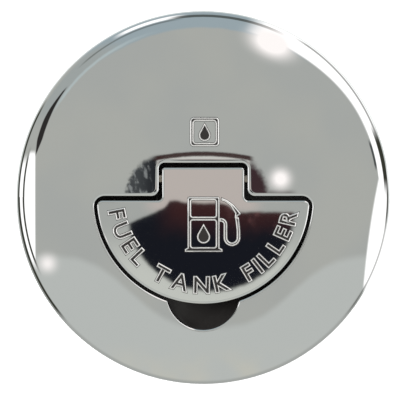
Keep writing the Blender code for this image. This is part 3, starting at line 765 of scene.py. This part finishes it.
def object_from(shape, name, material, scale=1.0, sharp=32.0):
    """A bmesh as an object at the origin, shaded smooth except at sharp edges."""
    if scale != 1.0:
        bmesh.ops.scale(shape, vec=(scale,) * 3, verts=shape.verts)
    mesh = bpy.data.meshes.new(name)
    shape.to_mesh(mesh)
    shape.free()
    mesh.shade_smooth()
    mesh.set_sharp_from_angle(angle=math.radians(sharp))
    mesh.materials.append(material)
    made = bpy.data.objects.new(name, mesh)
    bpy.context.collection.objects.link(made)
    return made


def fit(shape, name, body, slot, *nodes, finish=None, sharp=32.0):
    """Finish a piece made in millimetres: its object, body, slot and the CAD nodes it stands for."""
    piece = object_from(shape, name, finishes[finish or slot], MM, sharp)
    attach(piece, body)
    if nodes:
        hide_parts(*nodes)


def mended(shape, distance=0.0005):
    """Merge the doubles and point the faces outwards."""
    bmesh.ops.remove_doubles(shape, verts=shape.verts, dist=distance)
    bmesh.ops.recalc_face_normals(shape, faces=shape.faces)
    return shape


def turned_piece(profile, steps=96):
    """Turn (radius, height) points about Z. A profile that leaves the axis is closed to a ring."""
    shape = bmesh.new()
    points = [shape.verts.new((radius, 0.0, height)) for radius, height in profile]
    edges = [shape.edges.new(pair) for pair in zip(points, points[1:])]
    if profile[0][0] > 0.0:
        edges.append(shape.edges.new((points[-1], points[0])))
    bmesh.ops.spin(shape, geom=points + edges, cent=(0, 0, 0), axis=(0, 0, 1), angle=math.tau,
                   steps=steps, use_merge=True, use_duplicate=False)
    return mended(shape)


def rounded(profile, radius, closed=True, steps=3):
    """A profile with each corner cut to a small arc-like chain of points."""
    points = []
    count = len(profile)
    for index, corner in enumerate(profile):
        here = Vector(corner)
        if not closed and index in (0, count - 1):
            points.append(tuple(here))
            continue
        before = Vector(profile[index - 1]) - here
        after = Vector(profile[(index + 1) % count]) - here
        reach = min(radius, before.length * 0.45, after.length * 0.45)
        start = here + before.normalized() * reach
        end = here + after.normalized() * reach
        for step in range(steps + 1):
            t = step / steps
            points.append(tuple(start * (1 - t) ** 2 + here * (2 * t * (1 - t)) + end * t ** 2))
    return points


def turn(shape, angle, axis):
    bmesh.ops.rotate(shape, cent=(0, 0, 0), matrix=Matrix.Rotation(angle, 3, axis), verts=shape.verts)
    return shape


def move(shape, x, y, z=0.0):
    bmesh.ops.translate(shape, vec=(x, y, z), verts=shape.verts)
    return shape


def joined(*shapes):
    """The shapes as one, made in the first of them."""
    collected = shapes[0]
    for shape in shapes[1:]:
        mesh = bpy.data.meshes.new("joined")
        shape.to_mesh(mesh)
        shape.free()
        collected.from_mesh(mesh)
        bpy.data.meshes.remove(mesh)
    return collected


def evaluated_shape(holder):
    """The shape of an object with its modifiers or bevel made. The object is removed."""
    graph = bpy.context.evaluated_depsgraph_get()
    mesh = bpy.data.meshes.new_from_object(holder.evaluated_get(graph))
    shape = bmesh.new()
    shape.from_mesh(mesh)
    bpy.data.objects.remove(holder)
    bpy.data.meshes.remove(mesh)
    return shape


def extend(shape, loop, places):
    """Extrude a closed loop of vertices onto new places, and return the new loop."""
    edges = [shape.edges.get((loop[index - 1], loop[index])) for index in range(len(loop))]
    extruded = bmesh.ops.extrude_edge_only(shape, edges=edges)["geom"]
    fresh = {part for part in extruded if isinstance(part, bmesh.types.BMVert)}
    result = []
    for vertex, place in zip(loop, places):
        partners = [edge.other_vert(vertex) for edge in vertex.link_edges]
        partner = next(other for other in partners if other in fresh)
        partner.co = place
        result.append(partner)
    return result


def skin_through(rows):
    """A skin through loops of places: its shape, its first loop and its last."""
    shape = bmesh.new()
    first = [shape.verts.new(place) for place in rows[0]]
    for index in range(len(first)):
        shape.edges.new((first[index - 1], first[index]))
    loop = first
    for row in rows[1:]:
        loop = extend(shape, loop, row)
    return shape, first, loop


def arc(centre, radius, start, end, steps):
    """Points on an arc from one angle to another, in degrees."""
    points = []
    for step in range(steps + 1):
        angle = math.radians(start + (end - start) * step / steps)
        points.append((centre[0] + radius * math.cos(angle), centre[1] + radius * math.sin(angle)))
    return points


def line(start, end, steps):
    """Points between two ends, without the ends."""
    return [(start[0] + (end[0] - start[0]) * step / steps, start[1] + (end[1] - start[1]) * step / steps)
            for step in range(1, steps)]


def crossing(radius, other_radius, other_y):
    """Where a circle about the origin meets one about (0, other_y), on the +X side."""
    y = (radius ** 2 + other_y ** 2 - other_radius ** 2) / (2.0 * other_y)
    return math.sqrt(radius ** 2 - y ** 2), y


def half_disc(radius, tab_half, tab_top, shoulder, tip, neck, corner, notch=None):
    """Outline of the flap or its cut-out. notch is the finger notch's radius, fillet and fillet centre."""
    tip_reach = radius - tip
    tip_centre = (math.sqrt(tip_reach ** 2 - (shoulder - tip) ** 2), shoulder - tip)
    tip_angle = math.degrees(math.atan2(tip_centre[1], tip_centre[0]))
    half = []
    start = -90.0
    if notch:
        notch_radius, fillet, fillet_centre = notch
        to_notch = math.degrees(math.atan2(fillet_centre[1] - NOTCH_Y, fillet_centre[0]))
        to_origin = math.degrees(math.atan2(fillet_centre[1], fillet_centre[0]))
        half += arc((0.0, NOTCH_Y), notch_radius, -90.0, to_notch, 22)
        half += arc(fillet_centre, fillet, to_notch + 180.0, to_origin + 180.0, 6)[1:-1]
        start = to_origin
    half += arc((0.0, 0.0), radius, start, tip_angle, 44)
    half += arc(tip_centre, tip, tip_angle, 90.0, 12)[1:]
    half += line(half[-1], (tab_half + neck, shoulder), 16)
    half += arc((tab_half + neck, shoulder + neck), neck, -90.0, -180.0, 10)
    half += line(half[-1], (tab_half, tab_top - corner), 10)
    half += arc((tab_half - corner, tab_top - corner), corner, 0.0, 90.0, 10)
    half += line(half[-1], (0.0, tab_top), 16)
    half.append((0.0, tab_top))
    other_half = [(-x, y) for x, y in reversed(half[1:-1])]
    return half + other_half


def cut_outline(margin):
    """Outline of the cover's cut-out, widened by a margin."""
    centre = crossing(CUT_RADIUS + NOTCH_FILLET, NOTCH_RADIUS + NOTCH_FILLET, NOTCH_Y)
    notch = (NOTCH_RADIUS + margin, NOTCH_FILLET - margin, centre)
    return half_disc(CUT_RADIUS + margin, CUT_TAB_HALF + margin, CUT_TAB_TOP + margin, CUT_SHOULDER + margin,
                     CUT_TIP + margin, CUT_NECK - margin, CUT_CORNER + margin, notch)


def flap_outline(inset):
    """Outline of the flap, drawn in by an inset."""
    return half_disc(FLAP_RADIUS - inset, FLAP_TAB_HALF - inset, FLAP_TAB_TOP - inset, FLAP_SHOULDER - inset,
                     FLAP_TIP - inset, FLAP_NECK + inset, FLAP_CORNER - inset)


def dome_height(reach, radius=CAP_RADIUS, top=CROWN_TOP):
    return top + CROWN_SLOPE * (reach + radius * math.log(1.0 - reach / radius))


def on_dome(outline, radius=CAP_RADIUS, top=CROWN_TOP, drop=0.0):
    return [(x, y, dome_height(math.hypot(x, y), radius, top) - drop) for x, y in outline]


def circle_row(spread, reach, height):
    """A level row of places on a circle, at the bearings of a spread."""
    return [(x * reach, y * reach, height) for x, y in spread]


def blend_outlines(first, second, share):
    return [(a[0] + (b[0] - a[0]) * share, a[1] + (b[1] - a[1]) * share) for a, b in zip(first, second)]


def bearing_spread(outline):
    """Places on a unit circle for the outline's points, eased towards even spacing."""
    total = 0.0
    lengths = [0.0]
    for index in range(1, len(outline)):
        total += math.dist(outline[index - 1], outline[index])
        lengths.append(total)
    total += math.dist(outline[-1], outline[0])
    spread = []
    for (x, y), distance in zip(outline, lengths):
        even = -math.pi / 2.0 + math.tau * distance / total
        own = math.atan2(y, x)
        own += math.tau * round((even - own) / math.tau)
        angle = 0.6 * own + 0.4 * even
        spread.append((math.cos(angle), math.sin(angle)))
    return spread


def rolled_edge(roll, fall):
    """Inset and drop of each row over a rolled edge, from its side up to its top."""
    steps = 8
    rows = []
    for step in range(steps + 1):
        angle = math.radians(90.0 * step / steps)
        rows.append((roll * (1.0 - math.cos(angle)), fall * (1.0 - math.sin(angle))))
    return rows


def crown_rows(rolled, spread):
    """Rows over the dome, from the rolled edge of the cut-out to where the rim is steepest."""
    circle = [(x * OUTER_CIRCLE, y * OUTER_CIRCLE) for x, y in spread]
    rows = []
    for step in range(1, 25):
        share = (step / 24) ** 1.3
        rows.append(on_dome(blend_outlines(rolled, circle, share)))
    slope_start = CROWN_SLOPE * OUTER_CIRCLE / (CAP_RADIUS - OUTER_CIRCLE)
    for step in range(1, 33):
        slope = slope_start * (STEEPEST / slope_start) ** (step / 32)
        reach = CAP_RADIUS * slope / (slope + CROWN_SLOPE)
        rows.append(circle_row(spread, reach, dome_height(reach)))
    return rows


def rim_profile():
    """Radius and height of each row down the rim, round its foot and up its inner side."""
    side_top = dome_height(CAP_RADIUS * STEEPEST / (STEEPEST + CROWN_SLOPE))
    inner_radius = CAP_RADIUS - SHEET
    lip = CAP_RADIUS - RIM_LIP
    lip_top = RIM_BOTTOM + SHEET
    profile = [(CAP_RADIUS - 0.15, side_top - 0.9), (CAP_RADIUS, side_top - 1.8)]
    profile += arc((CAP_RADIUS - RIM_ROUND, RIM_BOTTOM + RIM_ROUND), RIM_ROUND, 0.0, -90.0, 6)
    profile += [(lip + 0.3, RIM_BOTTOM), (lip, RIM_BOTTOM + 0.3), (lip, lip_top - 0.1), (lip + 0.2, lip_top)]
    profile += [(inner_radius - 0.3, lip_top), (inner_radius, lip_top + 0.3), (inner_radius, 5.0)]
    return profile


def underside_rows(rolled, spread):
    """Rows across the cover's underside, from the rim in to the cut-out."""
    inner_radius = CAP_RADIUS - SHEET
    inner_top = CROWN_TOP - SHEET
    rows = []
    for reach in (43.4, 42.6, 41.0, 38.0, INNER_CIRCLE):
        rows.append(circle_row(spread, reach, dome_height(reach, inner_radius, inner_top)))
    circle = [(x * INNER_CIRCLE, y * INNER_CIRCLE) for x, y in spread]
    for share in (0.66, 0.33, 0.0):
        rows.append(on_dome(blend_outlines(rolled, circle, share), inner_radius, inner_top))
    return rows


def make_cover():
    rolled = cut_outline(EDGE_ROLL)
    spread = bearing_spread(rolled)
    wall_top = [(x, y, z - EDGE_FALL) for x, y, z in on_dome(cut_outline(0.0))]
    rows = [[(x, y, z - EDGE_DEPTH + EDGE_FALL) for x, y, z in wall_top]]
    rows.append([(x, y, z - 0.4) for x, y, z in wall_top])
    rows += [on_dome(cut_outline(margin), drop=drop) for margin, drop in rolled_edge(EDGE_ROLL, EDGE_FALL)]
    rows += crown_rows(rolled, spread)
    rows += [circle_row(spread, reach, height) for reach, height in rim_profile()]
    rows += underside_rows(rolled, spread)
    shape = skin_through(rows + rows[:1])[0]
    fit(mended(shape, 0.0002), "cover_shell", "cap", "polished_cover", "cap_cover", sharp=50.0)


def bored(shape, radius, y, z):
    """The shape with a round hole cut through it along X."""
    drill_profile = [(0.0, -DRILL_HALF), (radius, -DRILL_HALF), (radius, DRILL_HALF), (0.0, DRILL_HALF)]
    drill = move(turn(turned_piece(drill_profile, 48), math.pi / 2, "Y"), 0.0, y, z)
    holders = []
    for part in (shape, drill):
        bmesh.ops.triangulate(part, faces=part.faces)
        mesh = bpy.data.meshes.new("boring")
        part.to_mesh(mesh)
        part.free()
        holders.append(bpy.data.objects.new("boring", mesh))
        bpy.context.collection.objects.link(holders[-1])
    cut = holders[0].modifiers.new("bore", "BOOLEAN")
    cut.operation = "DIFFERENCE"
    cut.solver = "EXACT"
    cut.object = holders[1]
    result = evaluated_shape(holders[0])
    bpy.data.objects.remove(holders[1])
    return mended(result, 0.003)


def flap_row(inset, height):
    return [(x, y, height) for x, y in flap_outline(inset)]


def make_flap():
    """The flap's plate, bored for the hinge pin, and the knuckle round the pin."""
    foot = HINGE_Z - 0.5
    rows = [flap_row(FLAP_TAPER + 0.45, foot)]
    rows.append(flap_row(FLAP_TAPER + 0.13, foot + 0.08))
    rows.append(flap_row(FLAP_TAPER, foot + 0.35))
    rows.append(flap_row(0.06, FLAP_TOP - FLAP_FALL - 0.1))
    rows += [flap_row(inset, FLAP_TOP - drop) for inset, drop in rolled_edge(FLAP_ROLL, FLAP_FALL)]
    rows.append(flap_row(FLAP_ROLL + 0.05, FLAP_TOP))
    rows.append(flap_row(FLAP_ROLL + 0.12, FLAP_TOP))
    shape, first, last = skin_through(rows)
    shape.faces.new(last)
    shape.faces.new(first)
    shape = bored(mended(shape), PIN_RADIUS + PLATE_PLAY, HINGE_Y, HINGE_Z)
    fit(shape, "flap_plate", "flap", "polished_flap", "flap")
    half = FLAP_TAB_HALF - KNUCKLE_SHORTER
    bore = PIN_RADIUS + KNUCKLE_PLAY
    profile = [(bore, -half), (KNUCKLE_RADIUS, -half), (KNUCKLE_RADIUS, half), (bore, half)]
    knuckle = turn(turned_piece(rounded(profile, 0.3), 48), math.pi / 2, "Y")
    fit(move(knuckle, 0.0, HINGE_Y, HINGE_Z), "flap_knuckle", "flap", "polished_flap")


def make_cover_mark():
    """A droplet in a rounded square, raised on the dome above the flap."""
    square = rounded_box(-3.2, 12.0, 3.9, 19.1, 1.0)
    inner_square = rounded_box(-2.15, 13.05, 2.85, 18.05, 0.5)
    shape = plate([square, inner_square, droplet((0.35, 14.75), 1.5, 3.1)])
    for vertex in shape.verts:
        vertex.co.z += dome_height(math.hypot(vertex.co.x, vertex.co.y))
    fit(shape, "cover_mark", "cap", "polished_cover", finish="cover_marks", sharp=MARK_SHARP)


def droplet(centre, radius, height):
    """A drop: a circle with its tip at a height above the circle's centre."""
    open_angle = math.degrees(math.acos(radius / height))
    return arc(centre, radius, 90.0 + open_angle, 450.0 - open_angle, 28) + [(centre[0], centre[1] + height)]


def rounded_box(left, low, right, high, radius):
    return (arc((right - radius, low + radius), radius, -90.0, 0.0, 6)
            + arc((right - radius, high - radius), radius, 0.0, 90.0, 6)
            + arc((left + radius, high - radius), radius, 90.0, 180.0, 6)
            + arc((left + radius, low + radius), radius, 180.0, 270.0, 6))


def plate(outlines):
    """A raised mark with these outlines. An outline inside another is a hole."""
    curve = bpy.data.curves.new("mark", "CURVE")
    curve.dimensions = "2D"
    curve.fill_mode = "BOTH"
    for outline in outlines:
        spline = curve.splines.new("POLY")
        spline.points.add(len(outline) - 1)
        for point, (x, y) in zip(spline.points, outline):
            point.co = (x, y, 0.0, 1.0)
        spline.use_cyclic_u = True
    return relief(curve, 0.0)


def relief(curve, thicken):
    """A curve or text as a closed, chamfered mark in a bmesh, whose top is sunk inside a narrow ridge."""
    curve.extrude = MARK_RISE
    curve.bevel_depth = MARK_BEVEL
    curve.bevel_resolution = 0
    curve.offset = thicken - MARK_BEVEL
    holder = bpy.data.objects.new("mark", curve)
    bpy.context.collection.objects.link(holder)
    shape = mended(evaluated_shape(holder), 0.001)
    tops = [face for face in shape.faces if face.normal.z > 0.99]
    bmesh.ops.inset_region(shape, faces=tops, thickness=RIDGE_TOP, depth=0.0)
    bmesh.ops.inset_region(shape, faces=tops, thickness=RIDGE_INSIDE, depth=-MARK_SINK)
    return shape


def ribbon(points, width):
    """The outline of a stroke of even width along a line of points."""
    sides = ([], [])
    for index, point in enumerate(points):
        before = Vector(points[max(index - 1, 0)])
        after = Vector(points[min(index + 1, len(points) - 1)])
        along = (after - before).normalized()
        across = Vector((-along.y, along.x)) * width / 2.0
        sides[0].append(tuple(Vector(point) + across))
        sides[1].append(tuple(Vector(point) - across))
    return sides[0] + sides[1][::-1]


def make_pump_mark():
    """The fuel pump sign: a pump with a window, a panel with a drop, its base, hose and nozzle."""
    body = arc((-3.2, -0.4), 0.6, 180.0, 90.0, 5) + arc((3.4, -0.4), 0.6, 90.0, 0.0, 5)
    body += [(4.0, -11.9), (4.7, -12.3), (4.7, -13.05), (-4.45, -13.05), (-4.45, -12.3), (-3.8, -11.9)]
    window = rounded_box(-2.75, -4.5, 2.9, -0.75, 0.3)
    panel = rounded_box(-2.75, -11.75, 2.9, -5.6, 0.3)
    hose = [(3.8, -5.35), (4.2, -5.35)] + arc((4.2, -6.45), 1.1, 75.0, 0.0, 5)
    hose += arc((6.85, -9.6), 1.55, 180.0, 352.0, 20) + [(8.4, -8.0), (8.2, -6.0), (8.0, -4.7)]
    nozzle = [(7.4, -5.0), (8.25, -5.0), (8.3, -4.5), (9.0, -4.05), (8.85, -3.5), (7.35, -1.75)]
    nozzle += [(5.8, -0.6), (4.3, 0.05), (4.2, -0.8), (5.2, -1.1), (6.45, -2.1), (7.5, -3.8)]
    drop = droplet((0.1, -9.4), 1.65, 3.3)
    shapes = [plate([body, window, panel]), plate([ribbon(hose, HOSE_WIDTH)]), plate([nozzle]), plate([drop])]
    mark = move(joined(*shapes), 0.0, 0.0, FLAP_TOP)
    fit(mark, "pump_mark", "flap", "polished_flap", finish="flap_marks", sharp=MARK_SHARP)


def letter_glyph(letter):
    """A raised letter centred on x = 0, and its width."""
    text = bpy.data.curves.new("letter", "FONT")
    text.body = letter
    text.size = LETTER_SIZE
    text.resolution_u = 5
    shape = relief(text, LETTER_THICKEN)
    low = min(vertex.co.x for vertex in shape.verts)
    high = max(vertex.co.x for vertex in shape.verts)
    return move(shape, -(low + high) / 2.0, 0.0), high - low


def make_letters():
    """Raised letters around the flap's lower border, their feet outwards, spaced by their own widths."""
    glyphs = [(None, SPACE_WIDTH) if letter == " " else letter_glyph(letter) for letter in LETTERS]
    room = math.radians(LETTER_END - LETTER_START) * LETTER_MIDDLE
    gap = (room - sum(width for shape, width in glyphs)) / (len(glyphs) - 1)
    along = 0.0
    shapes = []
    for shape, width in glyphs:
        if shape:
            angle = math.radians(LETTER_START) + (along + width / 2.0) / LETTER_MIDDLE
            turn(shape, angle + math.pi / 2.0, "Z")
            move(shape, LETTER_RADIUS * math.cos(angle), LETTER_RADIUS * math.sin(angle), FLAP_TOP)
            shapes.append(shape)
        along += width + gap
    fit(joined(*shapes), "border_letters", "flap", "polished_flap", finish="flap_marks", sharp=MARK_SHARP)


def make_hinge_pin():
    half = PIN_HIGH.x
    profile = [(0.0, half), (PIN_RADIUS, half), (PIN_RADIUS, -half), (0.0, -half)]
    pin = turn(turned_piece(rounded(profile, 0.35, closed=False), 40), math.pi / 2, "Y")
    fit(move(pin, 0.0, HINGE_Y, HINGE_Z), "hinge_pin_turned", "cap", "fastener_steel", "hinge_pin",
        finish="hinge_steel")


def make_pads():
    for side in ("left", "right"):
        low, high = node_box(f"rest_pad_{side}")
        radius = (high.x - low.x) / 2.0
        profile = [(0.0, high.z), (radius - 0.1, high.z), (radius, high.z - 0.5)]
        profile += [(radius, low.z), (0.0, low.z)]
        pad = turned_piece(rounded(profile, 0.35, closed=False), 40)
        move(pad, (low.x + high.x) / 2.0, (low.y + high.y) / 2.0)
        fit(pad, f"soft_pad_{side}", "cap", "pad_rubber", f"rest_pad_{side}")


def make_oring(node, name, body, slot):
    low, high = node_box(node)
    section = (high.z - low.z) / 2.0
    middle = (high.z + low.z) / 2.0
    profile = arc((high.x - section, middle), section, 0.0, 360.0, 20)[:-1]
    fit(turned_piece(profile, 120), name, body, slot, node)


def anywhere(place):
    return True


def on_flange_outside(place):
    """Whether a place is on the flange's or the gasket's outer edges."""
    return math.hypot(place.x, place.y) > 27.0 and place.z < 5.6


def on_screw_head(place):
    return place.z > 2.0


def kept_shape(node, bevel=0.0, chosen=anywhere):
    """A CAD node's shape with its doubles merged, its flat faces whole, and its chosen edges broken."""
    shape = bmesh.new()
    shape.from_mesh(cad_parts[node].data)
    bmesh.ops.scale(shape, vec=(1.0 / MM,) * 3, verts=shape.verts)
    bmesh.ops.remove_doubles(shape, verts=shape.verts, dist=0.001)
    bmesh.ops.dissolve_limit(shape, angle_limit=math.radians(0.3), verts=shape.verts, edges=shape.edges)
    if bevel:
        creases = [edge for edge in shape.edges if len(edge.link_faces) == 2
                   and edge.calc_face_angle() > math.radians(40.0)]
        edges = [edge for edge in creases if chosen((edge.verts[0].co + edge.verts[1].co) / 2)]
        bmesh.ops.bevel(shape, geom=edges, offset=bevel, segments=3, profile=0.5, affect="EDGES",
                        clamp_overlap=True, material=-1)
    return shape


def keep(node, name, body, slot, bevel=0.0, chosen=anywhere):
    """A piece with a CAD node's own shape."""
    fit(kept_shape(node, bevel, chosen), name, body, slot, node)


def make_core_flange_and_swivel():
    keep("cap_core", "nylon_core", "cap", "black_nylon")
    keep("deck_flange", "flange_body", "root", "cast_steel", 0.2, on_flange_outside)
    keep("deck_gasket", "gasket_ring", "root", "gasket_rubber", 0.2, on_flange_outside)
    keep("swivel_eye", "swivel_plate", "swivel", "fastener_steel", 0.2)
    keep("swivel_insert", "threaded_insert", "cap", "brass", 0.15)
    keep("swivel_washer", "nylon_washer", "cap", "washer_nylon", 0.15)
    keep("swivel_screw", "swivel_bolt", "cap", "fastener_steel", 0.15)


def make_tail():
    """The hose tail, turned: a sleeve with a seal groove, a collar, and a pipe with barbs."""
    low, high = node_box("hose_tail")
    profile = [(TAIL_SLEEVE, high.z), (TAIL_SLEEVE, -14.8), (TAIL_GROOVE, -14.8), (TAIL_GROOVE, -16.6)]
    profile += [(TAIL_SLEEVE, -16.6), (TAIL_SLEEVE, -19.3), (high.x, -19.3), (high.x, -21.3)]
    profile += [(TAIL_COLLAR, -21.3), (TAIL_PIPE, TAIL_NECK_Z)]
    for barb in range(BARB_COUNT):
        start = BARB_TOP - BARB_SPACING * barb
        profile.append((TAIL_PIPE, start))
        profile.append((TAIL_PIPE + BARB_RISE, start - 0.5))
        profile.append((TAIL_PIPE + 0.1, start - BARB_LENGTH))
    profile += [(TAIL_PIPE, low.z + 0.6), (TAIL_PIPE - 0.3, low.z), (TAIL_BORE, low.z)]
    profile += [(TAIL_BORE, TAIL_NECK_Z), (TAIL_THROAT, -19.0), (TAIL_THROAT, high.z)]
    tail = turned_piece(rounded(profile, 0.3), 128)
    fit(tail, "barbed_tail", "root", "tail_steel", "hose_tail", sharp=40.0)


def threaded_screw():
    """The first deck screw, moved onto the Z axis, with a thread cut in its shank."""
    low, high = node_box("flange_screw_1")
    shape = kept_shape("flange_screw_1", 0.15, on_screw_head)
    move(shape, -(low.x + high.x) / 2.0, -(low.y + high.y) / 2.0)
    for row in range(int((THREAD_TOP - low.z - THREAD_END) / (THREAD_PITCH / 6.0))):
        level = low.z + THREAD_END + row * THREAD_PITCH / 6.0
        everything = shape.verts[:] + shape.edges[:] + shape.faces[:]
        bmesh.ops.bisect_plane(shape, geom=everything, dist=0.0001, plane_co=(0, 0, level),
                               plane_no=(0, 0, 1))
    for vertex in shape.verts:
        reach = math.hypot(vertex.co.x, vertex.co.y)
        if low.z + 0.4 < vertex.co.z < THREAD_TOP and reach > 0.2:
            phase = (vertex.co.z / THREAD_PITCH + math.atan2(vertex.co.y, vertex.co.x) / math.tau) % 1.0
            depth = THREAD_DEPTH * min(abs(phase - 0.5) * THREAD_FLANK, 1.0) * min(reach / 2.0, 1.0)
            vertex.co.x *= 1.0 - depth / reach
            vertex.co.y *= 1.0 - depth / reach
    return shape


def make_fasteners():
    pattern = threaded_screw()
    for number in range(1, 5):
        low, high = node_box(f"flange_screw_{number}")
        screw = move(pattern.copy(), (low.x + high.x) / 2.0, (low.y + high.y) / 2.0)
        fit(screw, f"deck_screw_{number}", "root", "fastener_steel", f"flange_screw_{number}", sharp=40.0)
    pattern.free()
    keep("bond_screw", "earth_screw", "root", "fastener_steel", 0.15)
    keep("bond_washer", "earth_washer", "root", "brass", 0.12)
    keep("chain_anchor", "anchor_rivet", "root", "fastener_steel", 0.1)


finishes = make_finishes()
make_camera()
make_cover()
make_cover_mark()
make_flap()
make_pump_mark()
make_letters()
make_hinge_pin()
make_pads()
make_oring("cap_oring", "cap_seal", "cap", "seal_rubber")
make_oring("tail_oring", "tail_seal", "root", "seal_rubber")
make_core_flange_and_swivel()
make_tail()
make_fasteners()
make_studio()
